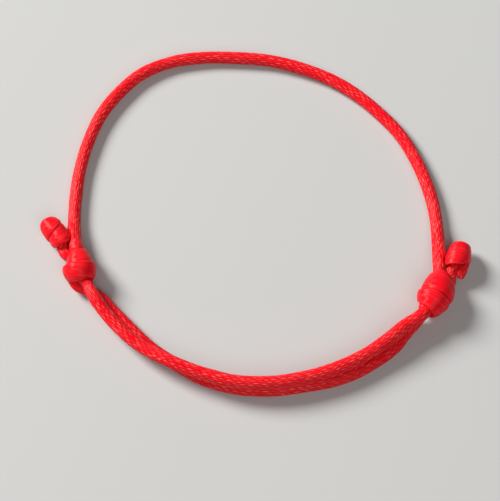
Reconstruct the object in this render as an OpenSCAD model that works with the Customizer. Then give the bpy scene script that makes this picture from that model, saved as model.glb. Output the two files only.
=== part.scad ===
// A red satin cord bracelet: one cord closed by two sliding knots, each end held by an end knot.

/* [Cord] */
// Diameter of the satin cord where nothing presses it
cord_d = 2; // [1.8:0.05:2]
// Width of the cord where it is pulled tight inside a knot
core_d = 1.6; // [1.4:0.05:1.6]

/* [Knots] */
// Width of the cord where it is wound round another run and doesn't spread
wrap_w = 2; // [1.8:0.05:2]
// Thickness of the cord where it is wound round another run and pulled flat
wrap_t = 1; // [0.8:0.05:1]

/* [Hidden] */

// Sides of every section through the cord
SIDES = 8;
// Half the angle of one side, and the half width that keeps the polygon's area equal to the round's
HALF_SIDE = 180 / SIDES;
TRUE_AREA = sqrt(PI / (SIDES / 2 * sin(2 * HALF_SIDE)));
// Height of the middle of a cord that lies on the surface
lie = cord_d / 2;
UP = [0, 0, 1];

// The wrist loop, from under the right sliding knot over the far side to under the left one: [x, y, z]
WRIST = [
    [25.6, -18.3, 1.4], [26.8, -17.2, 2.15], [28, -15.7, 2.5], [28.8, -13.8, 2.5], [29.3, -11.6, 2.5],
    [29.3, -9.4, 2.3], [29.4, -6.4, 1.7], [29.4, -2, 1.1], [29, 2, lie], [27.9, 6.5, lie],
    [26.2, 11, lie], [23.9, 15.3, lie], [20.7, 19.2, lie], [16.7, 23, lie], [12.7, 25.7, lie],
    [7.7, 27.9, lie], [2.2, 29.4, lie], [-3.3, 29.9, lie], [-9.1, 29.9, lie], [-14.3, 29, lie],
    [-18.8, 26.9, lie], [-22.8, 23, lie], [-25.6, 18.8, lie], [-27.5, 13.8, lie], [-28.7, 8.5, lie],
    [-29.2, 3, lie], [-29.2, -1.5, 1.3], [-28.8, -5, 2.1], [-28.3, -7.2, 2.5], [-27.9, -9.2, 2.5],
    [-27.4, -11, 2.5], [-26.6, -12.5, 2.8]];
// The strand that lies on the surface, from the left knot to the right knot's middle: [x, y, z]
LOWER = [
    [-24.5, -14.3, lie], [-22.7, -16.4, lie], [-20.3, -18.9, lie], [-17.3, -22, lie], [-13.3, -25, lie],
    [-8.7, -27.8, lie], [-3.3, -29.5, lie], [2.2, -29.9, lie], [7.7, -29.2, lie], [13.8, -27.8, lie],
    [18.3, -25.5, lie], [22.2, -22.4, lie], [23.9, -20.1, lie]];
// The strand that rides on it, from the left knot's middle to the right knot: [x, y, z]
UPPER = [
    [-25.4, -14.9, 3.05], [-23.7, -17.4, 2.8], [-21.2, -20.2, 2.6], [-17.8, -23.2, 2.6],
    [-13.5, -25.7, 3], [-8.4, -27.8, 3.1], [-3.3, -29.2, 3.1], [2.1, -29.4, 3.05], [7.3, -28.6, 2.95],
    [12.9, -26.8, 2.8], [17.2, -24.6, 2.7], [21.2, -21.8, 3], [23.6, -19.8, 3.2]];

// The left tail from its sliding knot to its end knot, and the right one: [x, y, z]
LEFT_TAIL = [[-30.7, -6.2, 1.1]];
RIGHT_TAIL = [[31.1, -11.2, 1.7]];

// The run that passes through each knot: [near, middle, far] points of its middle line
LEFT_CORE = [[-27.7, -11.2, 2.5], [-28, -9.2, 2.5], [-28.3, -7.2, 2.5]];
RIGHT_CORE = [[27.5, -16.6, 2.5], [28.7, -14.3, 2.5], [29.3, -11.8, 2.5]];
LEFT_END_AXIS = [[-31.2, -4.9, 1.8], [-32.2, -3.3, 1.8], [-33.4, -1.6, 1.8]];
RIGHT_END_AXIS = [[32, -9.4, 2.15], [32.5, -7.6, 2.15], [33.1, -5.8, 2.15]];

// Each knot's cord on its way from the left end of the cord to the right end, a row for each bend:
// [turn round the axis, place along it, distance from it, width as a share of wrap_w,
// thickness as a share of wrap_t, lean of the outer face towards the far end].
// Turn 0 is the axis's right, 90 the top, 180 the left and 270 the underside.
LEFT_END_WRAPS = [
    [575, -1.8, 1.2, 0.6, 0.7, 0], [530, -1.5, 1.1, 0.8, 0.8, 0], [450, -1.5, 1.3, 1, 1.1, 0],
    [360, -0.75, 1.2, 1.6, 0.7, 0], [270, 0, 1.25, 1, 1, 0], [180, 0.75, 1.2, 1.25, 1, 0],
    [90, 1.05, 1.3, 1.25, 1.1, 10], [0, 1.8, 1.2, 0.5, 1.1, 25], [-60, 1.9, 1, 0.55, 0.9, 40],
    [-90, 1.4, 0.3, 0.45, 0.9, 0], [-90, 0.4, 0.1, 0.55, 1.1, 0], [-90, -1, 0.1, 0.55, 1.1, 0],
    [-90, -2.5, 0.5, 0.9, 1.6, 0]];
LEFT_SLIDING_WRAPS = [
    [213, 2.9, 2.35, 1, 1.9, 0], [240, 2.4, 1.85, 1, 1.4, 0], [270, 1.8, 1.6, 1.05, 1.2, 0],
    [360, 1.2, 1.5, 1.3, 1, 20], [450, 0.8, 1.5, 1.5, 1, 20], [540, 0.6, 1.45, 1.2, 1, 15],
    [630, -0.7, 1.5, 1, 1.2, 0], [720, -1.4, 2, 1.15, 1.3, -5], [810, -1.8, 1.95, 1.2, 1.3, -10],
    [900, -1.85, 1.95, 1.1, 1.3, -10], [934, -2.15, 1.85, 0.95, 1.4, 0], [950, -2.5, 1.75, 0.95, 1.5, 0],
    [962, -2.7, 1.5, 1.05, 1.5, 0], [980, -3.05, 1.4, 1.05, 1.3, 0], [1003, -3.35, 1.5, 1, 1.4, 0],
    [1030, -4.4, 1.97, 1, 1.8, 0]];
RIGHT_SLIDING_WRAPS = [
    [-262, -4.7, 1, 1, 1.6, 0], [-256, -3.9, 1.1, 0.9, 1.2, 0], [-236, -3.3, 1.3, 0.8, 0.9, 0],
    [-185, -2.6, 1.4, 0.7, 0.7, 0], [-90, -2.4, 1.55, 0.7, 0.9, 0], [-45, -2.4, 1.6, 0.95, 1, 0],
    [0, -2, 1.65, 1.3, 1.2, -5], [90, -2.05, 2.25, 1.65, 0.9, -3], [180, -1.5, 2.25, 1.05, 0.9, -8],
    [270, -0.4, 1.55, 0.85, 1.3, 0], [360, 0.6, 2, 1.35, 1.4, 10], [450, 1.6, 1.8, 2.05, 1.3, 20],
    [540, 1.7, 1.8, 1.4, 1.4, 20], [630, 1.8, 1.6, 0.95, 1.2, 0], [685, 2.5, 1.9, 0.95, 1.5, 0]];
RIGHT_END_WRAPS = [
    [195, -3, 0.7, 0.9, 1.6, 0], [198, -2.2, 0.3, 0.75, 1.3, 0], [210, -1.3, 0.2, 0.6, 1.1, 0],
    [240, -0.5, 0.2, 0.55, 1.1, 0], [290, 0.5, 0.2, 0.55, 1.1, 0], [310, 1.3, 0.5, 0.5, 1, 0],
    [335, 1.3, 1.2, 0.9, 1, 30], [375, 0.8, 1.4, 1.15, 1.2, 10], [450, 0.1, 1.5, 1.85, 1.2, 5],
    [540, -0.8, 1.4, 1.8, 0.7, 5], [620, -0.5, 1.5, 1.1, 1.1, 0], [672, -1, 1.5, 0.8, 1.2, 0],
    [704, -1.4, 1.4, 0.8, 1.4, 0], [712, -2, 1.4, 0.9, 1.5, 0], [704, -2.6, 1.35, 0.85, 1.4, 0],
    [685, -3.05, 1.35, 0.8, 1.3, 0], [658, -3.4, 1.45, 0.75, 1.2, 0]];
// Width of the cord between two knots, where both pull at it
tail_d = (cord_d + core_d) / 2;
// How far from a sliding knot's middle it holds the run inside it
knot_reach = 3.6;
// Sections that a curve is smoothed into between two rows of a knot
KNOT_STEPS = 3;

// A vector made one long
function unit(v) = v / norm(v);

// The smooth curve through rows a, b, c and d, between b and c
function between(a, b, c, d, u) =
    b + u / 2 * (c - a) + u * u / 2 * (2 * a - 5 * b + 4 * c - d) + u * u * u / 2 * (3 * b - a - 3 * c + d);

// Rows smoothed into `steps` sections each
function smooth_rows(rows, steps) = let (last = len(rows) - 1) [
    for (i = [0:last - 1], k = [0:steps - 1])
        between(rows[max(i - 1, 0)], rows[i], rows[i + 1], rows[min(i + 2, last)], k / steps),
    rows[last]];

// The place of a knot's row, as [middle, width, thickness, direction out from the axis]
function around(axis, row) =
    let (
        half = (axis[2] - axis[0]) / 2,
        bow = (axis[2] + axis[0]) / 2 - axis[1],
        s = row[1] / norm(half),
        ahead = unit(half + 2 * s * bow),
        side = unit(cross(ahead, UP)),
        out = cos(row[0]) * side + sin(row[0]) * cross(side, ahead)
    )
    [axis[1] + s * half + s * s * bow + row[2] * out, row[3] * wrap_w, row[4] * wrap_t,
        cos(row[5]) * out + sin(row[5]) * ahead];

// A knot's sections
function knot(axis, rows) = [for (row = smooth_rows(rows, KNOT_STEPS)) around(axis, row)];

// The sections of a run, each as [middle, width, thickness, direction of the top]
function run(points, width) = [for (p = points) [p, width, width, UP]];

// The wrist loop's sections, narrowed where a sliding knot holds it
function held_width(p) = min(norm(p - LEFT_CORE[1]), norm(p - RIGHT_CORE[1])) < knot_reach ? core_d : cord_d;
function wrist(points) = [for (p = points) [p, held_width(p), held_width(p), UP]];

// The corners round one section, across its line
function ring(section, ahead) =
    let (side = unit(cross(ahead, section[3])), out = cross(side, ahead))
    [for (i = [0:SIDES - 1])
        let (turn = (2 * i + 1) * HALF_SIDE)
        section[0] + TRUE_AREA * (cos(turn) * section[1] / 2 * side + sin(turn) * section[2] / 2 * out)];

// A tube through sections, whose ends face along `before` and `after`
module tube(sections, before, after) {
    last = len(sections) - 1;
    middles = [before, for (s = sections) s[0], after];
    points = [for (i = [0:last]) each ring(sections[i], unit(middles[i + 2] - middles[i]))];
    walls = [for (i = [0:last - 1], k = [0:SIDES - 1])
        let (a = i * SIDES + k, b = i * SIDES + (k + 1) % SIDES)
        each [[a, b, a + SIDES], [b, b + SIDES, a + SIDES]]];
    caps = [[for (k = [SIDES - 1:-1:0]) k], [for (k = [0:SIDES - 1]) last * SIDES + k]];
    polyhedron(points, concat(walls, caps));
}

left_end = knot(LEFT_END_AXIS, LEFT_END_WRAPS);
left_sliding = knot(LEFT_CORE, LEFT_SLIDING_WRAPS);
right_sliding = knot(RIGHT_CORE, RIGHT_SLIDING_WRAPS);
right_end = knot(RIGHT_END_AXIS, RIGHT_END_WRAPS);

// A row counted back from the end of a list
function from_end(rows, back) = rows[len(rows) - 1 - back];

// The runs between the knots, each from face to face
left_tail_line = [from_end(left_end, 0)[0], each LEFT_TAIL, left_sliding[0][0]];
lower_line = [from_end(left_sliding, 0)[0], each LOWER, WRIST[0]];
upper_line = [from_end(WRIST, 0), each UPPER, right_sliding[0][0]];
right_tail_line = [from_end(right_sliding, 0)[0], each RIGHT_TAIL, right_end[0][0]];

module left_end_knot() {
    color("crimson") tube(left_end, left_end[0][0], left_tail_line[1]);
}
module left_tail() {
    color("red") tube(run(left_tail_line, tail_d), from_end(left_end, 1)[0], left_sliding[1][0]);
}
module left_sliding_knot() {
    color("crimson") tube(left_sliding, from_end(left_tail_line, 1), lower_line[1]);
}
module lower_strand() {
    color("red") tube(run(lower_line, cord_d), from_end(left_sliding, 1)[0], WRIST[1]);
}
module wrist_cord() {
    color("red") tube(wrist(WRIST), from_end(lower_line, 1), upper_line[1]);
}
module upper_strand() {
    color("red") tube(run(upper_line, cord_d), from_end(WRIST, 1), right_sliding[1][0]);
}
module right_sliding_knot() {
    color("crimson") tube(right_sliding, from_end(upper_line, 1), right_tail_line[1]);
}
module right_tail() {
    color("red") tube(run(right_tail_line, tail_d), from_end(right_sliding, 1)[0], right_end[1][0]);
}
module right_end_knot() {
    color("crimson") tube(right_end, from_end(right_tail_line, 1), from_end(right_end, 0)[0]);
}

wrist_cord();
lower_strand();
upper_strand();
left_sliding_knot();
right_sliding_knot();
left_tail();
right_tail();
left_end_knot();
right_end_knot();
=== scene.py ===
# %% [markdown]
# # A red satin cord bracelet
# The real bracelet is one length of satin cord, 2 mm thick. Each end is wound round the other
# end's cord, so that the loop slides open and shut, and is stopped by a knot of its own. The
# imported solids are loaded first, because every piece below stands where a solid stands. The
# whole cord is then worked out as one list of sections and cut into the pieces at the end,
# because that keeps its thickness and its threads unbroken from knot to knot.

# %% Load the frame
import math

import bpy
import numpy as np
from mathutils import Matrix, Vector


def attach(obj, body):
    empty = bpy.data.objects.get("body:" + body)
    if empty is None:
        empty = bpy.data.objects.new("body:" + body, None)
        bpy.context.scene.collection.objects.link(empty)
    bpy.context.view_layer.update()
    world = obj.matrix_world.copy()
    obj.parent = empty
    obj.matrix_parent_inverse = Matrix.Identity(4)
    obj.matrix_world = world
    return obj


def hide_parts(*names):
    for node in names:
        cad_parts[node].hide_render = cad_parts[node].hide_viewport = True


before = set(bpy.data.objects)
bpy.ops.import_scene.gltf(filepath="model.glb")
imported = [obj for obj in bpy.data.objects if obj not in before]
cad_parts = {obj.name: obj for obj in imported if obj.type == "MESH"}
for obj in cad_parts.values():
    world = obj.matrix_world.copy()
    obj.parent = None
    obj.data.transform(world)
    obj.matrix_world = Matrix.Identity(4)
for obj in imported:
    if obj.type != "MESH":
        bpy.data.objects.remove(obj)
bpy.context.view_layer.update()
print("solids in the frame:", ", ".join(sorted(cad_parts)))

# %% [markdown]
# ## The camera
# The bracelet lies on a surface and is seen from high above its near side. A camera can be
# placed by eye or worked out. Here it is worked out: the elevation, the distance and the scale
# at the middle of the picture give its place and its lens.

# %% Camera
MM = 0.001
SENSOR = 36.0
photo_long_side = 501
photo_scale = 6.2 / MM  # pixels to a metre, at the point that the camera looks at
camera_elevation = math.radians(65)
camera_distance = 300 * MM
look_at = Vector((-0.8, -5.5, 0)) * MM

camera = bpy.data.objects.new("camera", bpy.data.cameras.new("camera"))
bpy.context.scene.collection.objects.link(camera)
camera.location = look_at + camera_distance * Vector(
    (0, -math.cos(camera_elevation), math.sin(camera_elevation)))
camera.rotation_euler = (math.pi / 2 - camera_elevation, 0, 0)
camera.data.sensor_width = SENSOR
camera.data.lens = SENSOR * photo_scale * camera_distance / photo_long_side
camera.data.clip_start = 10 * MM
bpy.context.scene.camera = camera
print(f"camera {camera_distance / MM:.0f} mm away, lens {camera.data.lens:.1f} mm")

# %% [markdown]
# ## The cord's route
# A cord has a fixed length and lies under its own weight, so its route comes before its looks.
# The same points were used for the solids. They are written in millimetres and turned into
# metres: the wrist loop first, then the two strands of the doubled section. One strand lies on
# the surface and the other rides on it, from beside it at each end to right on top.

# %% Route of the three free runs
CORD = 2 * MM  # the cord where nothing presses it
CORE = 1.6 * MM  # where it is pulled tight inside a knot
TAIL = (CORD + CORE) / 2  # between two knots, where both pull at it
LIE = CORD / 2 / MM  # height of the middle of a cord that lies on the surface

WRIST = MM * np.array([
    (25.6, -18.3, 1.4), (26.8, -17.2, 2.15), (28, -15.7, 2.5), (28.8, -13.8, 2.5),
    (29.3, -11.6, 2.5), (29.3, -9.4, 2.3), (29.4, -6.4, 1.7), (29.4, -2, 1.1), (29, 2, LIE),
    (27.9, 6.5, LIE),
    (26.2, 11, LIE), (23.9, 15.3, LIE), (20.7, 19.2, LIE), (16.7, 23, LIE), (12.7, 25.7, LIE),
    (7.7, 27.9, LIE), (2.2, 29.4, LIE), (-3.3, 29.9, LIE), (-9.1, 29.9, LIE), (-14.3, 29, LIE),
    (-18.8, 26.9, LIE), (-22.8, 23, LIE), (-25.6, 18.8, LIE), (-27.5, 13.8, LIE), (-28.7, 8.5, LIE),
    (-29.2, 3, LIE), (-29.2, -1.5, 1.3), (-28.8, -5, 2.1), (-28.3, -7.2, 2.5), (-27.9, -9.2, 2.5),
    (-27.4, -11, 2.5), (-26.6, -12.5, 2.8)])
LOWER = MM * np.array([
    (-24.5, -14.3, LIE), (-22.7, -16.4, LIE), (-20.3, -18.9, LIE), (-17.3, -22, LIE),
    (-13.3, -25, LIE), (-8.7, -27.8, LIE), (-3.3, -29.5, LIE), (2.2, -29.9, LIE),
    (7.7, -29.2, LIE), (13.8, -27.8, LIE), (18.3, -25.5, LIE), (22.2, -22.4, LIE),
    (23.9, -20.1, LIE)])
UPPER = MM * np.array([
    (-25.4, -14.9, 3.05), (-23.7, -17.4, 2.8), (-21.2, -20.2, 2.6), (-17.8, -23.2, 2.6),
    (-13.5, -25.7, 3), (-8.4, -27.8, 3.1), (-3.3, -29.2, 3.1), (2.1, -29.4, 3.05), (7.3, -28.6, 2.95),
    (12.9, -26.8, 2.8), (17.2, -24.6, 2.7), (21.2, -21.8, 3), (23.6, -19.8, 3.2)])
LEFT_TAIL = MM * np.array([(-30.7, -6.2, 1.1)])
RIGHT_TAIL = MM * np.array([(31.1, -11.2, 1.7)])
print("route points:", sum(map(len, (WRIST, LOWER, UPPER, LEFT_TAIL, RIGHT_TAIL))))

# %% [markdown]
# ## The knots' route
# Inside a knot the cord winds round a run, so its route is easier to say as turns round that
# run than as points. Each row of a table is one bend: the turn round the axis, the place along
# it, the distance from it, the cord's width and thickness there, and how far its outer face
# leans towards the far end. Turns and leans are in degrees, and turn 0 is the axis's right, 90
# the top, 180 the left and 270 the underside. The axis itself bends a little, through three
# points.

# %% Tables of the knots
LEFT_CORE = MM * np.array([(-27.7, -11.2, 2.5), (-28, -9.2, 2.5), (-28.3, -7.2, 2.5)])
RIGHT_CORE = MM * np.array([(27.5, -16.6, 2.5), (28.7, -14.3, 2.5), (29.3, -11.8, 2.5)])
LEFT_END_AXIS = MM * np.array([(-31.2, -4.9, 1.8), (-32.2, -3.3, 1.8), (-33.4, -1.6, 1.8)])
RIGHT_END_AXIS = MM * np.array([(32, -9.4, 2.15), (32.5, -7.6, 2.15), (33.1, -5.8, 2.15)])

LEFT_END_WRAPS = [
    (575, -1.8, 1.2, 1.2, 0.8, 0), (530, -1.5, 1.1, 1.6, 0.8, 0), (450, -1.5, 1.3, 2.3, 1.1, 0),
    (360, -0.75, 1.4, 3.8, 1.1, 0), (270, 0, 1.25, 2, 1, 0), (180, 0.75, 1.2, 2.5, 1, 0),
    (90, 1.05, 1.3, 2.8, 1.1, 10), (0, 1.75, 1.2, 1.3, 1.1, 25), (-60, 1.9, 1, 1.1, 0.9, 40),
    (-90, 1.4, 0.3, 0.9, 0.9, 0), (-90, 0.4, 0.1, 1.1, 1.1, 0), (-90, -1, 0.1, 1.1, 1.1, 0),
    (-90, -2.5, 0.5, 1.8, 1.6, 0)]
LEFT_SLIDING_WRAPS = [
    (213, 2.9, 2.35, 2, 1.9, 0), (240, 2.4, 1.85, 2, 1.4, 0), (270, 1.8, 1.6, 2.1, 1.2, 0),
    (360, 1.2, 1.5, 2.6, 1, 20), (450, 0.8, 1.5, 3, 1, 20), (540, 0.6, 1.45, 2.4, 1, 15),
    (630, -0.7, 1.5, 2.2, 1.2, 0), (720, -1.4, 1.9, 2.6, 1.4, -15), (810, -1.8, 1.8, 2.7, 1.5, -25),
    (900, -1.4, 1.9, 2.4, 1.5, -20), (934, -1.6, 1.75, 2, 1.4, 0), (950, -2.2, 1.6, 2, 1.5, 0),
    (962, -2.7, 1.5, 2.1, 1.5, 0), (980, -3.05, 1.4, 2.1, 1.5, 0), (1003, -3.35, 1.5, 2, 1.6, 0),
    (1030, -4.3, 1.9, 2, 1.8, 0)]
RIGHT_SLIDING_WRAPS = [
    (-265, -4.7, 1, 2, 1.8, 0), (-262, -3.9, 1.05, 2, 1.7, 0), (-246, -3.2, 1.2, 1.8, 1.3, 0),
    (-195, -2.6, 1.3, 1.4, 1, 0), (-90, -2.4, 1.55, 1.4, 1.1, 0), (-45, -2.3, 1.5, 2.1, 1.2, -15),
    (0, -1.85, 1.6, 2.5, 1.4, -25), (90, -2.3, 1.95, 3.4, 1.4, -22),
    (140, -2.35, 1.65, 3.6, 1.5, -44), (180, -1.75, 1.85, 2.4, 1.6, -38),
    (270, -0.4, 1.55, 1.7, 1.3, 0), (360, 0.6, 2, 2.7, 1.4, 10), (450, 1.6, 1.8, 4.1, 1.3, 20),
    (540, 1.5, 1.75, 3.2, 1.4, 18), (630, 1.8, 1.6, 1.9, 1.2, 0), (685, 2.5, 1.9, 1.9, 1.7, 0)]
RIGHT_END_WRAPS = [
    (195, -3, 0.7, 2, 1.8, 0), (198, -2.2, 0.5, 2, 1.7, 0), (210, -1.3, 0.3, 1.6, 1.3, 0),
    (240, -0.5, 0.2, 1.1, 1.1, 0), (290, 0.8, 0.15, 1.3, 1.3, 0), (310, 1.85, 0.5, 1.7, 1.6, 0),
    (335, 1.5, 1.15, 1.9, 1.1, 30), (375, 0.45, 1.4, 3.1, 1.2, 10), (450, 0.1, 1.5, 3.7, 1.2, 5),
    (540, -0.8, 1.4, 4, 1, 5), (620, -0.5, 1.5, 2.2, 1.1, 0), (672, -0.5, 1.5, 2, 1.3, 0),
    (704, -0.8, 1.3, 1.9, 1.6, 0), (712, -1.45, 1.15, 1.8, 1.7, 0), (704, -2.2, 1.05, 1.8, 1.7, 0),
    (685, -2.85, 1, 1.8, 1.7, 0), (658, -3.2, 1.15, 1.7, 1.6, 0)]
all_wraps = (LEFT_END_WRAPS, LEFT_SLIDING_WRAPS, RIGHT_SLIDING_WRAPS, RIGHT_END_WRAPS)
print("knot bends:", sum(map(len, all_wraps)))

# %% [markdown]
# ## A curve through a few rows
# A table has only a few rows for each turn, and straight lines between them would leave
# corners. A curve is laid through them instead, which passes each row in the direction from the
# row before it to the row after it. It is worked out for all the numbers of a row at once, so
# the width and the thickness change as smoothly as the place.

# %% A smooth curve through rows
def unit(v):
    """The same directions, each 1 long."""
    return v / np.linalg.norm(v, axis=-1, keepdims=True)


def smooth_rows(rows, steps):
    """A smooth curve through the rows, with `steps` sections from each row to the next."""
    rows = np.array(rows, float)
    padded = np.vstack([rows[:1], rows, rows[-1:]])
    u = np.arange(steps)[:, None] / steps
    made = []
    for a, b, c, d in zip(padded, padded[1:], padded[2:], padded[3:]):
        made.append(b + u / 2 * (c - a) + u**2 / 2 * (2 * a - 5 * b + 4 * c - d)
                    + u**3 / 2 * (3 * b - a - 3 * c + d))
    return np.vstack([*made, rows[-1:]])


print("three rows, ten steps apart, give", len(smooth_rows([[0], [1], [0]], 10)), "places")

# %% [markdown]
# ## From tables to sections
# A section says all that the cord is at one place: its middle, its width and thickness, the way
# that its outer face looks, and whether it is wound round something. A curve with a bevel could
# follow the route too, but its section stays round, and the cord in a knot is pressed flat. So
# each route becomes a list of sections, nine numbers each, and the mesh is built through them.

# %% Sections of a run and of a knot
UP = np.array((0.0, 0.0, 1.0))
KNOT_STEPS = 12  # sections between two rows of a knot
KNOT_REACH = 3.6 * MM  # how far from a sliding knot's middle it holds the run inside it


def knot_sections(axis, rows):
    """A knot's sections: the table's rows, smoothed and set round the bent axis."""
    turn, along, away, width, thickness, lean = smooth_rows(rows, KNOT_STEPS).T
    turn, lean = np.radians(turn)[:, None], np.radians(lean)[:, None]
    half = (axis[2] - axis[0]) / 2
    bow = (axis[2] + axis[0]) / 2 - axis[1]
    s = (along * MM / np.linalg.norm(half))[:, None]
    ahead = unit(half + 2 * s * bow)
    side = unit(np.cross(ahead, UP))
    out = np.cos(turn) * side + np.sin(turn) * np.cross(side, ahead)
    middle = axis[1] + s * half + s**2 * bow + MM * away[:, None] * out
    face = np.cos(lean) * out + np.sin(lean) * ahead
    return np.column_stack([middle, width * MM, thickness * MM, face, np.ones(len(face))])


def run_sections(points, width):
    """A free run's sections, as round as the cord."""
    count = len(points)
    width = np.broadcast_to(width, count)
    return np.column_stack([points, width, width, np.tile(UP, (count, 1)), np.zeros(count)])


core_middles = np.array([LEFT_CORE[1], RIGHT_CORE[1]])
to_core = np.linalg.norm(WRIST[:, None] - core_middles, axis=2).min(axis=1)
wrist_width = np.where(to_core < KNOT_REACH, CORE, CORD)
print(f"the knots hold {np.sum(wrist_width < CORD)} of the wrist loop's {len(WRIST)} points")

# %% [markdown]
# ## Even and soft
# The sections lie close together in a knot and far apart in a free run, but the threads and the
# mesh need them at one even distance. A curve object could be resampled by a modifier, but it
# carries only a place, a radius and a twist. So one helper lays a curve through all nine
# numbers and reads it off at even steps. A second one averages each section with its
# neighbours, because soft cord never bends suddenly.

# %% Helpers for an even and soft cord
SPACING = 0.12 * MM  # between two sections of the finished tube


def even_sections(coarse):
    """Sections a fixed distance apart on a smooth curve through the coarse ones."""
    at = np.concatenate([[0], np.cumsum(np.linalg.norm(np.diff(coarse[:, :3], axis=0), axis=1))])
    gap = np.diff(at)[:, None]
    slope = np.diff(coarse, axis=0) / gap
    inner = (slope[:-1] * gap[1:] + slope[1:] * gap[:-1]) / (gap[1:] + gap[:-1])
    pull = np.vstack([slope[:1], inner, slope[-1:]])
    want = np.arange(0, at[-1], SPACING)
    i = np.clip(np.searchsorted(at, want, side="right") - 1, 0, len(gap) - 1)
    g = gap[i]
    t = (want[:, None] - at[i][:, None]) / g
    return at, (coarse[i] * (1 + 2 * t) * (1 - t)**2 + coarse[i + 1] * t**2 * (3 - 2 * t)
                + pull[i] * g * t * (1 - t)**2 - pull[i + 1] * g * t**2 * (1 - t))


def soften(sections, reach):
    """Each section averaged with its neighbours, the nearest counting most."""
    weight = np.exp(-0.5 * (np.arange(-2 * reach, 2 * reach + 1) / reach)**2)
    weight /= weight.sum()
    ends = [np.repeat(sections[:1], 2 * reach, axis=0), np.repeat(sections[-1:], 2 * reach, axis=0)]
    held = np.vstack([ends[0], sections, ends[1]])
    return np.column_stack([np.convolve(column, weight, mode="valid") for column in held.T])


print(f"sections will be {SPACING / MM:.2f} mm apart")

# %% [markdown]
# ## One cord from end to end
# The parts are put in the order in which the real cord runs, from its left cut end to its right
# one, and the whole cord is made smooth at once. That keeps it unbroken where one piece hands
# over to the next. A section's face may point either way, since the cord looks the same turned
# over, so each is turned to agree with the one before.

# %% The whole cord
SOFTEN = 3  # sections on each side that count most when one is averaged

parts = [
    ("left_end_knot", knot_sections(LEFT_END_AXIS, LEFT_END_WRAPS)),
    ("left_tail", run_sections(LEFT_TAIL, TAIL)),
    ("left_sliding_knot", knot_sections(LEFT_CORE, LEFT_SLIDING_WRAPS)),
    ("lower_strand", run_sections(LOWER, CORD)),
    ("wrist_cord", run_sections(WRIST, wrist_width)),
    ("upper_strand", run_sections(UPPER, CORD)),
    ("right_sliding_knot", knot_sections(RIGHT_CORE, RIGHT_SLIDING_WRAPS)),
    ("right_tail", run_sections(RIGHT_TAIL, TAIL)),
    ("right_end_knot", knot_sections(RIGHT_END_AXIS, RIGHT_END_WRAPS)),
]
coarse = np.vstack([sections for _, sections in parts])
for i in range(1, len(coarse)):
    if coarse[i, 5:8] @ coarse[i - 1, 5:8] < 0:
        coarse[i, 5:] *= -1
coarse_at, cord = even_sections(coarse)
cord = soften(cord, SOFTEN)
cord_middle = cord[:, :3]
print(f"the whole cord is {coarse_at[-1] / MM:.0f} mm long, in {len(cord)} sections")

# %% [markdown]
# ## Where one piece ends and the next begins
# The solids meet face to face at the ends of the knots and of the wrist loop, and so do the
# pieces. A knot or the wrist loop ends at its own last section. A strand or tail reaches from
# the piece before it to the piece after it.

# %% Cuts between the pieces
BETWEEN = ("left_tail", "lower_strand", "upper_strand", "right_tail")
part_ends = np.cumsum([len(sections) for _, sections in parts])
spans = {}
for (name, sections), stop in zip(parts, part_ends):
    first, last = stop - len(sections), stop - 1
    if name in BETWEEN:
        first, last = first - 1, last + 1
    spans[name] = [int(round(coarse_at[k] / SPACING)) for k in (first, last)]
spans["right_end_knot"][1] = len(cord) - 1
for name, (first, last) in spans.items():
    print(f"{name}: {(last - first) * SPACING / MM:.1f} mm of cord")

# %% [markdown]
# ## Soft cord pulled tight
# Pulled tight, the cord in a knot swells until it meets the cord beside it, so two wraps have
# no gap between them, only a crease. A cloth simulation could find that shape, slowly. Here it
# is found by a rule, in a few steps. The first is how large each section would be if nothing
# stopped it: larger in a knot, the cord's own size in a free run, and a soft change between.

# %% How far each section may swell
SWELL = 0.2 * MM  # how far a section in a knot swells where nothing stops it
FULL_WIDTH, FULL_THICKNESS = 1.8 * MM, 1.4 * MM  # the least that it swells to
KNOT_FADE = 4  # sections on each side over which loose cord turns into tight cord
LOOSE_ENDS = {  # how much of a knot's cord is still loose, at its start and at its end
    "left_end_knot": (1.2 * MM, 1.2 * MM), "left_sliding_knot": (2.2 * MM, 1.2 * MM),
    "right_sliding_knot": (1.5 * MM, 1.5 * MM), "right_end_knot": (1.2 * MM, 3.2 * MM)}

in_knot = np.zeros(len(cord))
for name, loose in LOOSE_ENDS.items():
    first, last = spans[name]
    start, stop = (int(length / SPACING) for length in loose)
    in_knot[first + start:last + 1 - stop] = 1
near_core = np.linalg.norm(cord_middle[:, None] - core_middles, axis=2).min(axis=1) < KNOT_REACH
in_knot = soften(np.maximum(in_knot, near_core)[:, None], KNOT_FADE)[:, 0]

free_size = cord[:, 3:5]
full_size = np.maximum(free_size + 2 * SWELL, (FULL_WIDTH, FULL_THICKNESS))
half_size = (free_size + in_knot[:, None] * (full_size - free_size)) / 2
print(f"{np.mean(in_knot > 0.5) * 100:.0f}% of the cord is held in a knot")

# %% [markdown]
# ## The outline of a section
# A section is an ellipse where the cord is round, and a little boxy where it is pressed flat.
# Points spread by angle would crowd at the ends of a flat one, so they are spread evenly along
# the outline. The side that faces out of a knot doesn't swell, because the knot's size was
# measured there.

# %% Outline of a section
SIDES = 72
FINE = 8  # points on the first outline for each point that is kept
ROUND, BOXY = 2.0, 0.1  # the power of a true ellipse, and how much a flatter one adds to it


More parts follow.
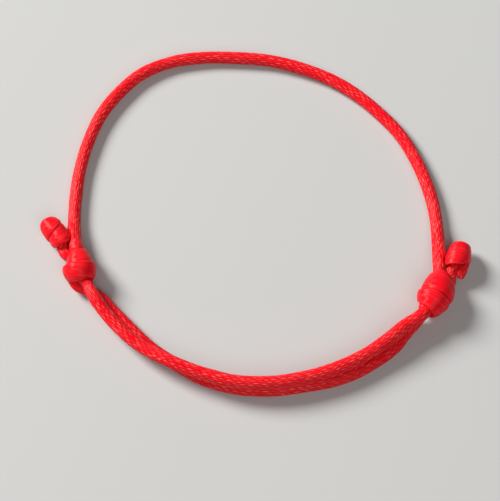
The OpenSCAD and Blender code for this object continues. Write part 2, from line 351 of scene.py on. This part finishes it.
def outline(half_width, half_thickness, held_face):
    """Evenly spaced points round a section, from its middle. `held_face` says how much of its
    thickness one face gives up, and its sign says which face."""
    angle = np.linspace(0, 2 * np.pi, FINE * SIDES + 1)
    power = 2 / (ROUND + BOXY * max(half_width / half_thickness - 1, 0))
    x = half_width * np.sign(np.cos(angle)) * np.abs(np.cos(angle))**power
    y = half_thickness * np.sign(np.sin(angle)) * np.abs(np.sin(angle))**power
    y *= np.where(y * held_face > 0, 1 - np.abs(held_face), 1)
    way = np.concatenate([[0], np.cumsum(np.hypot(np.diff(x), np.diff(y)))])
    even = way[-1] * np.arange(SIDES) / SIDES
    return np.interp(even, way, x), np.interp(even, way, y)


print(f"{SIDES} points round each of {len(cord)} sections")

# %% [markdown]
# ## Which way a section lies
# Each section needs three directions: along the cord, across its width, and out through its
# face. The first comes from the sections beside it, and the tables say which way the face looks,
# so the others can be worked out square to it. A curve object finds such directions by itself,
# but it knows nothing of the face that a flat cord turns outwards in a knot.

# %% Directions of the sections
tangent = unit(np.gradient(cord_middle, axis=0))
cord_side = unit(np.cross(tangent, cord[:, 5:8]))
cord_out = np.cross(cord_side, tangent)
outer = cord[:, 8]  # in a knot, 1 or -1 says which face looks outwards; 0 in a free run
lowest, highest = cord_middle[:, 2].min() / MM, cord_middle[:, 2].max() / MM
print(f"the cord's middle is {lowest:.1f} to {highest:.1f} mm above the floor")

# %% [markdown]
# ## Where two stretches meet
# Two stretches that press on each other share the space between them by their sizes, so the
# border between their middles can be worked out. Each point round a section moves straight out
# from the middle, and stops at the nearest border that it faces. A section beside another one
# first reaches out a little further, which closes the last gap between two round wraps.

# %% Stop each section at its neighbours
SAME_BEND = 1.2 * CORD  # along the cord, anything nearer is part of the same bend
LOOK_ROUND = 2 * CORD  # how far away the next stretch of cord may be
TOUCH = 0.15 * MM  # how much further a section reaches towards the one beside it
BESIDE = 1.3  # the border's greatest distance for that, as a part of the section's own reach
FACING = 0.1  # how squarely a point has to face another stretch to be stopped by it


def reach_towards(k, direction):
    """How far section k, or each of several, reaches in a direction."""
    return np.hypot(half_size[k, 0] * np.sum(direction * cord_side[k], axis=-1),
                    half_size[k, 1] * np.sum(direction * cord_out[k], axis=-1))


def pressed_ring(i):
    """Directions and distances of the points round section i, stopped by the cord near it."""
    kept = 1 - free_size[i, 1] / 2 / half_size[i, 1]
    x, y = outline(*half_size[i], outer[i] * kept)
    offset = x[:, None] * cord_side[i] + y[:, None] * cord_out[i]
    distance = np.linalg.norm(offset, axis=1)
    direction = offset / distance[:, None]
    away = cord_middle - cord_middle[i]
    gap = np.linalg.norm(away, axis=1)
    along_cord = np.abs(np.arange(len(cord)) - i) * SPACING
    others = np.flatnonzero((gap < LOOK_ROUND) & (along_cord > SAME_BEND))
    if len(others):
        towards = away[others] / gap[others, None]
        own, theirs = reach_towards(i, towards), reach_towards(others, towards)
        border = gap[others] * own / (own + theirs)
        facing = direction @ towards.T
        beside = (facing * (border < BESIDE * own)).max(axis=1).clip(0, 1)
        distance = distance + TOUCH * beside**2
        stop = np.where(facing > FACING, border / facing.clip(FACING), np.inf).min(axis=1)
        distance = np.minimum(distance, stop)
    return direction, distance


rings = [pressed_ring(i) for i in range(len(cord))]
ring_direction = np.array([direction for direction, _ in rings])
ring_distance = np.array([distance for _, distance in rings])
nearest, farthest = ring_distance.min() / MM, ring_distance.max() / MM
print(f"the surface is {nearest:.2f} to {farthest:.2f} mm from the cord's middle")

# %% [markdown]
# ## Soft creases
# The rule leaves sharp edges where one neighbour takes over from another. Real creases are soft,
# so each point is averaged with the points beside it, round the cord and along it. A Smooth
# modifier would also shrink the cord, because it moves points in every direction. Here only
# their distance from the middle changes.

# %% Soften the creases
CREASE_PASSES = 3

for _ in range(CREASE_PASSES):
    ring_distance = (np.roll(ring_distance, 1, axis=1) + 2 * ring_distance
                     + np.roll(ring_distance, -1, axis=1)) / 4
    ring_distance[1:-1] = (ring_distance[:-2] + 2 * ring_distance[1:-1] + ring_distance[2:]) / 4
nearest, farthest = ring_distance.min() / MM, ring_distance.max() / MM
print(f"softened, it is {nearest:.2f} to {farthest:.2f} mm from the middle")

# %% [markdown]
# ## Nothing on a cord is quite even
# A real cord's size changes along it, its rows of threads wander round it, and each thread
# strays a little. A noise texture could do that in the finish, but the mesh and the finish have
# to stray together. So each kind of straying is drawn once, as random numbers averaged with
# their neighbours until they are smooth.

# %% Random lines and sheets
random = np.random.default_rng(5)


def wavering(reach):
    """A smooth random line along the cord, mostly between -1 and 1."""
    line = soften(random.normal(size=(len(cord), 1)), reach)[:, 0]
    return line / (2 * line.std())


def ruffled(reach, columns):
    """A smooth random sheet over the cord's surface, mostly between -1 and 1."""
    sheet = soften(random.normal(size=(len(cord), SIDES)), reach)
    for _ in range(columns):
        sheet = np.roll(sheet, 1, axis=1) + 2 * sheet + np.roll(sheet, -1, axis=1)
    return sheet / (2 * sheet.std())


print("random lines and sheets are ready")

# %% [markdown]
# ## Floats in relief
# Satin cord is woven so that its shiny threads float along it for about a millimetre and then
# dip under. Rows of floats run side by side, each row shifted against the next. A bump texture
# could show them, but it leaves the outline smooth, and a real cord's outline is a little rough.
# So the floats are modelled, a few hundredths of a millimetre high, on the free runs only: in a
# knot the threads are pulled flat.

# %% Threads in relief
ROWS = 18  # rows of threads round the cord
FLOAT = 1.3 * MM  # from one float's crown to the next one's
STAGGER = 0.4  # how far each row is shifted against the one before it, as a part of a float
WANDER = 2.5  # rows that the weave turns by, to and fro
RUFFLE = 0.2  # how far a thread strays, as a part of its row and of its float
VALLEY = 0.75  # how far the surface sinks between two rows
DIP = 0.3  # how far a thread sinks between two of its floats
FREE_RELIEF = 0.06 * MM  # the height of the relief where the cord is loose
TURN = math.pi * CORD  # the way round the cord where nothing presses it

length = np.arange(len(cord)) * SPACING
along = length[:, None] + RUFFLE * FLOAT * ruffled(reach=3, columns=3)
strayed_rows = WANDER * wavering(reach=60)[:, None] + RUFFLE * ruffled(reach=4, columns=3)
around = np.arange(SIDES) / SIDES + strayed_rows / ROWS
row_place = around * ROWS
row = np.floor(row_place) % ROWS
from_row = 2 * (row_place % 1) - 1
float_phase = 2 * np.pi * (along / FLOAT + row * STAGGER)
crown = 0.5 + 0.5 * np.cos(float_phase)
height = (1 - VALLEY * from_row**2) * (1 - DIP + DIP * crown)
relief = FREE_RELIEF * (1 - in_knot)[:, None] * (height - 0.5)
print(f"{ROWS} rows of floats, {TURN / ROWS / MM:.2f} mm apart")

# %% [markdown]
# ## The finished surface
# The cut ends of a satin cord are sealed with heat, which pinches and rounds them. Half a ball
# could be joined to each end, but it is simpler to let the last rings shrink along a quarter of
# a circle. The surface's normals are worked out here as well, for the whole cord at once, so
# that no seam shows later where two pieces meet.

# %% Points and normals of the whole cord
UNEVEN = 0.03  # how much the cord's size changes along it
SEAL = 0.45 * MM  # the length that a cut end rounds off in
PINCH = 0.97  # how far along the quarter circle's radius the last ring is
LOWEST = 0.01 * MM  # the lowest that the cord's surface may come, just clear of the floor

uneven = 1 + UNEVEN * wavering(reach=12)[:, None]
from_end = np.minimum(length, length[-1] - length)
sealed = np.sqrt(1 - (1 - from_end / SEAL).clip(0, PINCH)**2)[:, None]
ring_distance = (ring_distance * uneven + relief) * sealed
ring_points = cord_middle[:, None] + ring_distance[..., None] * ring_direction
ring_points[..., 2] = ring_points[..., 2].clip(LOWEST)
onward_step = np.gradient(ring_points, axis=0)
around_step = np.roll(ring_points, -1, axis=1) - np.roll(ring_points, 1, axis=1)
ring_normal = unit(np.cross(around_step, onward_step))
ring_normal *= np.sign(np.sum(ring_normal * ring_direction, axis=2).mean())
print(f"the cord's highest point is {ring_points[..., 2].max() / MM:.1f} mm above the floor")

# %% [markdown]
# ## What the mesh remembers
# The finish has to follow the cord, so the mesh carries three things for it. Two UV numbers say
# how far round the cord a point is and how far along it, both in turns of the cord, so that a
# thread keeps its size everywhere. An attribute says how tightly the cord is wound there. And
# the normals worked out above go with each corner of each face.

# %% Values for the corners of the faces
UV_NAME = "satin_map"
WOUND_NAME = "wound"


def closed_round(sheet, turn=0):
    """The sheet with its first column repeated at the end, where it counts one turn more."""
    return np.concatenate([sheet, sheet[:, :1] + turn], axis=1)


def at_corners(first, last, sheet):
    """A closed sheet's values at the corners of the faces from one ring to another."""
    part = sheet[first:last + 1]
    corners = (part[:-1, :-1], part[1:, :-1], part[1:, 1:], part[:-1, 1:])
    return np.stack(corners, axis=2).reshape(-1, sheet.shape[-1])


satin_place = np.stack([closed_round(around, 1), closed_round(along) / TURN], axis=-1)
face_way = closed_round(ring_normal)
print(f"{satin_place.shape[0]} rings, each closed by its first point again")

# %% [markdown]
# ## The tube's mesh
# A tube can be made by a curve with a bevel, by a skin modifier, or point by point. Only the
# last way can follow a section that swells and is pressed, so the rings are joined here by
# four-sided faces, and one face closes each end.

# %% Mesh of one stretch of cord
def cord_mesh(name, first, last):
    """A closed tube through the sections from `first` to `last`."""
    count = last - first + 1
    index = closed_round(np.arange(count * SIDES).reshape(count, SIDES))[..., None]
    quads = at_corners(0, count - 1, index).reshape(-1, 4)
    caps = [list(range(SIDES)), list(range((count - 1) * SIDES, count * SIDES))[::-1]]
    mesh = bpy.data.meshes.new(name)
    mesh.from_pydata(ring_points[first:last + 1].reshape(-1, 3), [], quads.tolist() + caps)
    mesh.shade_smooth()

    cap_uv = [(0.5, along[first, 0] / TURN)] * SIDES + [(0.5, along[last, 0] / TURN)] * SIDES
    layer = mesh.uv_layers.new(name=UV_NAME)
    layer.data.foreach_set("uv", np.vstack([at_corners(first, last, satin_place), cap_uv]).ravel())
    wound = mesh.attributes.new(WOUND_NAME, "FLOAT", "POINT")
    wound.data.foreach_set("value", np.repeat(in_knot[first:last + 1], SIDES))
    cap_normal = [-tangent[first]] * SIDES + [tangent[last]] * SIDES
    mesh.normals_split_custom_set(np.vstack([at_corners(first, last, face_way), cap_normal]))
    mesh.update()
    return mesh


print(f"{SIDES} points round the cord, a ring every {SPACING / MM:.2f} mm")

# %% [markdown]
# ## Short words for a material
# A material is a tree of nodes. It could be drawn by hand in the shader editor. In a script,
# three short helpers keep it readable: one adds a node and links what it is given, one does a
# sum, and one mixes two colours.

# %% Helpers for materials
def link_or_set(tree, socket, value):
    """A value from another node is linked to the socket, and a number is written on it."""
    if isinstance(value, bpy.types.NodeSocket):
        tree.links.new(value, socket)
    else:
        socket.default_value = value


def add_node(tree, kind, *values, **settings):
    """A node with its settings, and its inputs filled in order. None leaves one alone."""
    made = tree.nodes.new(kind)
    for key, value in settings.items():
        setattr(made, key, value)
    for socket, value in zip(made.inputs, values):
        if value is not None:
            link_or_set(tree, socket, value)
    return made


def maths(tree, operation, *values, clamp=False):
    """The result of one step of arithmetic."""
    return add_node(tree, "ShaderNodeMath", *values, operation=operation, use_clamp=clamp).outputs[0]


def mix_colours(tree, share, first, second):
    """A Mix node keeps its sockets for colours behind those for numbers and vectors."""
    mix = add_node(tree, "ShaderNodeMix", share, data_type="RGBA")
    link_or_set(tree, mix.inputs[6], first)
    link_or_set(tree, mix.inputs[7], second)
    return mix.outputs[2]


print("material helpers are ready")

# %% [markdown]
# ## The satin's threads
# On the real cord the floats catch the light as short pale dashes, and the gaps between them
# lie in deep red shade. Here both are painted into the colour: the dashes are painted highlights
# and the gaps painted shade. A picture of cloth would show that on a flat sheet, but here the
# pattern has to follow a cord through its knots. So it is worked out from the UV numbers, in the
# same way as the relief. The first step finds the row and the float that a point belongs to.

# %% A point's place among the threads
def thread_place(tree, rows, float_length):
    """A point's place round the cord in rows, the number of its row, the square of its distance
    from the row's middle, its place along the floats, and how near it is to a float's crown."""
    place = add_node(tree, "ShaderNodeUVMap", uv_map=UV_NAME).outputs[0]
    split = add_node(tree, "ShaderNodeSeparateXYZ", place)
    row_place = maths(tree, "MULTIPLY", split.outputs[0], float(rows))
    row = maths(tree, "FLOORED_MODULO", maths(tree, "FLOOR", row_place), float(rows))
    from_row = maths(tree, "MULTIPLY_ADD", maths(tree, "FRACT", row_place), 2.0, -1.0)
    off_row = maths(tree, "MULTIPLY", from_row, from_row)
    shift = maths(tree, "MULTIPLY", row, STAGGER)
    float_place = maths(tree, "MULTIPLY_ADD", split.outputs[1], TURN / float_length, shift)
    wave = maths(tree, "COSINE", maths(tree, "MULTIPLY", float_place, 2 * math.pi))
    crown = maths(tree, "MULTIPLY_ADD", wave, 0.5, 0.5)
    return row_place, row, off_row, float_place, crown


print("the threads' places follow the cord's UV numbers")

# %% [markdown]
# ## Height, painted gap shade and painted highlights
# Three patterns come from that place: a height for the bump, painted shade in the gaps between
# the threads, and painted highlights as pale dashes on them. Fine noise, stretched along the
# cord, stands for the fibres in a thread. Chance makes some painted highlights bright and others
# faint, because real threads don't all lie the same way and so don't all catch the light alike.

# %% Threads of the satin
FIBRES = 5.0  # fibres side by side in one thread
FIBRE_DEPTH = 0.5  # how much of a thread's height changes from fibre to fibre
# dark gaps are painted shade: the shade in the recess between two rows of threads, put into the colour
GAP_EDGE, GAP_COVER = 1.5, 0.7  # how sharp a gap is, and how much of it a float's crown hides
# pale dashes are painted highlights: the glints of light on the floats' crowns, put into the colour
SPINE, CREST = 2.5, 1.5  # how narrow a pale dash is, and how short
SPARKLE, DASHES = 1.2, 2.4  # how rare a bright dash is, and how bright dashes are in all


def threads(tree, rows, float_length, dashes):
    """A pattern of threads: `rows` of them round the cord, in floats of `float_length` metres.
    Returns their height, painted shade for the gaps between them, and painted highlights as pale
    dashes."""
    row_place, row, off_row, float_place, crown = thread_place(tree, rows, float_length)
    fibre_place = maths(tree, "MULTIPLY", row_place, FIBRES)
    stretched = add_node(tree, "ShaderNodeCombineXYZ", fibre_place, float_place).outputs[0]
    fibres = add_node(tree, "ShaderNodeTexNoise", stretched, None, 1.0, 2.0,
                      noise_dimensions="2D").outputs[0]
    float_number = maths(tree, "FLOOR", maths(tree, "ADD", float_place, 0.5))
    number = add_node(tree, "ShaderNodeCombineXYZ", row, float_number).outputs[0]
    chance = add_node(tree, "ShaderNodeTexWhiteNoise", number, noise_dimensions="2D").outputs[0]

    ridge = maths(tree, "MULTIPLY_ADD", off_row, -VALLEY, 1.0)
    thread = maths(tree, "MULTIPLY", ridge, maths(tree, "MULTIPLY_ADD", crown, DIP, 1 - DIP))
    fibre_height = maths(tree, "MULTIPLY_ADD", fibres, FIBRE_DEPTH, 1 - FIBRE_DEPTH / 2)
    height = maths(tree, "MULTIPLY", thread, fibre_height)
    # painted shade: darker towards the edges of each row, less where a float's crown covers the gap
    open_gap = maths(tree, "MULTIPLY_ADD", crown, -GAP_COVER, 1.0)
    painted_gap_shade = maths(tree, "MULTIPLY", maths(tree, "POWER", off_row, GAP_EDGE), open_gap)
    # painted highlight: a pale dash along each float's crown, bright or faint by chance
    spine = maths(tree, "POWER", maths(tree, "SUBTRACT", 1.0, off_row), SPINE)
    crest = maths(tree, "MULTIPLY", spine, maths(tree, "POWER", crown, CREST))
    shine = maths(tree, "MULTIPLY", crest, maths(tree, "POWER", chance, SPARKLE))
    painted_glint = maths(tree, "MULTIPLY", shine, maths(tree, "MULTIPLY", fibres, DASHES * dashes), clamp=True)
    return height, painted_gap_shade, painted_glint


print("the threads have a height, gaps and dashes")

# %% [markdown]
# ## One satin, loose and wound
# Where the cord is wound, its threads are pulled straight and pressed flat, so they show as
# finer and longer lines with fewer painted highlights. A second material on the knots would
# change at a hard edge, so one material holds both patterns and blends them by the wound attribute.

# %% Colour and height of the satin
# PAINTED_SHADE_RED is painted shade, for the gaps between the threads
PAINTED_SHADE_RED = (0.33, 0.0, 0.006, 1)
BRIGHT_RED = (0.86, 0.004, 0.014, 1)
# PAINTED_GLINT_RED is painted highlight, for the glints on the floats
PAINTED_GLINT_RED = (1.0, 0.12, 0.1, 1)
LOOSE_BUMP, TIGHT_BUMP = 0.05 * MM, 0.015 * MM  # the height of the threads in the bump
# the painted shade in the gaps is weaker where the cord is wound
TIGHT_DEPTH = 0.5  # how dark the gaps are where the cord is wound, against the loose cord's


def satin_threads(tree):
    """The satin's colour, with painted shade in the gaps and painted highlights on the floats, and its
    height in metres, loose or tight by the wound attribute.
    """
    wound = add_node(tree, "ShaderNodeAttribute", attribute_name=WOUND_NAME).outputs["Fac"]
    loose = threads(tree, ROWS, FLOAT, dashes=1.0)
    tight = threads(tree, 2 * ROWS, 3 * FLOAT, dashes=0.3)

    def blend(first, second):
        return add_node(tree, "ShaderNodeMix", wound, None, first, second).outputs[0]

    height = blend(maths(tree, "MULTIPLY", loose[0], LOOSE_BUMP),
                   maths(tree, "MULTIPLY", tight[0], TIGHT_BUMP))
    # painted shade in the gaps darkens the bright red
    painted_gap_shade = blend(loose[1], maths(tree, "MULTIPLY", tight[1], TIGHT_DEPTH))
    base = mix_colours(tree, painted_gap_shade, BRIGHT_RED, PAINTED_SHADE_RED)
    # painted highlights pale the colour on the floats' crowns
    return mix_colours(tree, blend(loose[2], tight[2]), base, PAINTED_GLINT_RED), height


print("deep red gaps, bright red threads, pale red dashes")

# %% [markdown]
# ## How the satin shines
# Silky threads spread the shine across them in a band, where paint would show a round spot. The
# anisotropy makes that band, and the tangent says which way it runs. The shine is kept low and
# a little red, because each thread colours the light that it sends back. Some light also goes
# into the cord and comes out red, which keeps its shaded side warm.

# %% Satin material
def satin_material():
    """The satin finish of the whole cord."""
    material = bpy.data.materials.new("red_satin")
    material.use_nodes = True
    tree = material.node_tree
    tree.nodes.clear()
    colour, height = satin_threads(tree)
    bump = add_node(tree, "ShaderNodeBump", 1.0, 1.0)
    tree.links.new(height, bump.inputs["Height"])
    across_threads = add_node(tree, "ShaderNodeTangent", direction_type="UV_MAP", uv_map=UV_NAME)
    shader = add_node(tree, "ShaderNodeBsdfPrincipled")
    shader.inputs["Roughness"].default_value = 0.36
    shader.inputs["Anisotropic"].default_value = 0.9
    shader.inputs["Specular IOR Level"].default_value = 0.22
    shader.inputs["Specular Tint"].default_value = (1, 0.6, 0.55, 1)
    shader.inputs["Sheen Weight"].default_value = 0.03
    shader.inputs["Sheen Roughness"].default_value = 0.4
    shader.inputs["Sheen Tint"].default_value = (1, 0.15, 0.15, 1)
    shader.inputs["Subsurface Weight"].default_value = 0.3
    shader.inputs["Subsurface Radius"].default_value = (1, 0.15, 0.15)
    shader.inputs["Subsurface Scale"].default_value = 0.3 * MM
    tree.links.new(colour, shader.inputs["Base Color"])
    tree.links.new(bump.outputs[0], shader.inputs["Normal"])
    tree.links.new(across_threads.outputs[0], shader.inputs["Tangent"])
    output = add_node(tree, "ShaderNodeOutputMaterial")
    tree.links.new(shader.outputs[0], output.inputs[0])
    return material


satin = satin_material()
print(f"one satin of {len(satin.node_tree.nodes)} nodes, for loose and for wound cord")

# %% [markdown]
# ## The pieces
# Every piece is a stretch of the one cord. The whole cord could be a single mesh, but a knot or
# a strand may be wanted by itself later, so each solid gets a piece of its own. The piece stands
# for its solid, rides on the only body, and takes its finish from the satin slot.

# %% Make the pieces
for name, (first, last) in spans.items():
    piece = bpy.data.objects.new("satin_" + name, cord_mesh("satin_" + name, first, last))
    bpy.context.scene.collection.objects.link(piece)
    piece.data.materials.append(satin)
    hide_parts(name)
    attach(piece, "root")
    print(f"{piece.name}: {len(piece.data.polygons)} faces")

# %% [markdown]
# ## How long the cords are
# The wrist loop and the two strands are free cords, which take another shape whenever the
# bracelet is moved. A mesh doesn't say that, so each one's real length along the line that it
# follows is measured here and printed with its thickness. The tails are too short to be cords of their
# own.

for name in ("wrist_cord", "lower_strand", "upper_strand"):
    first, last = spans[name]
    line = cord_middle[first:last + 1]
    length = float(np.linalg.norm(np.diff(line, axis=0), axis=1).sum())
    print(f"{name}: {length / MM:.0f} mm of {CORD / MM:.0f} mm cord")

# %% [markdown]
# ## The floor
# The bracelet needs something to lie on, or its shadow would have nowhere to fall. A plain pale
# floor shows the shadow and nothing else, and it is wide enough for its edge never to be seen.
# It belongs to the stage and not to the bracelet.

# %% Floor
FLOOR_WIDTH = 3.0
PAPER = (0.5, 0.495, 0.48, 1)

corner = FLOOR_WIDTH / 2
corners = [(-corner, -corner, 0), (corner, -corner, 0), (corner, corner, 0), (-corner, corner, 0)]
floor_mesh = bpy.data.meshes.new("floor")
floor_mesh.from_pydata(corners, [], [(0, 1, 2, 3)])
floor = bpy.data.objects.new("floor", floor_mesh)
bpy.context.scene.collection.objects.link(floor)
paper = bpy.data.materials.new("pale_paper")
paper.use_nodes = True
paper_shader = paper.node_tree.nodes["Principled BSDF"]
paper_shader.inputs["Base Color"].default_value = PAPER
paper_shader.inputs["Roughness"].default_value = 0.9
floor_mesh.materials.append(paper)
print("a floor", FLOOR_WIDTH, "m wide")

# %% [markdown]
# ## The light
# The main light is a soft lamp far up on the left, beyond the loop, because light from one side
# shows how round the cord is. A weaker and wider lamp on the near side and a faint sky lighten
# the shadows, so that the knots' near faces don't turn black.

# %% Light and sky
SKY = (0.93, 0.96, 1, 1)


def soft_lamp(name, place, size, energy):
    """A round soft lamp in metres and watts, turned towards the bracelet."""
    lamp = bpy.data.objects.new(name, bpy.data.lights.new(name, "AREA"))
    bpy.context.scene.collection.objects.link(lamp)
    lamp.data.shape = "DISK"
    lamp.data.size = size
    lamp.data.energy = energy
    lamp.location = Vector(place)
    lamp.rotation_euler = (-lamp.location).to_track_quat("-Z", "Y").to_euler()


soft_lamp("key_lamp", place=(-0.76, 0.49, 0.66), size=0.45, energy=20)
soft_lamp("fill_lamp", place=(0.2, -0.7, 0.9), size=1.0, energy=5.5)

sky = bpy.data.worlds.new("sky")
sky.use_nodes = True
sky.node_tree.nodes["Background"].inputs["Color"].default_value = SKY
sky.node_tree.nodes["Background"].inputs["Strength"].default_value = 0.1
bpy.context.scene.world = sky
bpy.context.scene.view_settings.view_transform = "Standard"
print("two lamps and a faint sky")
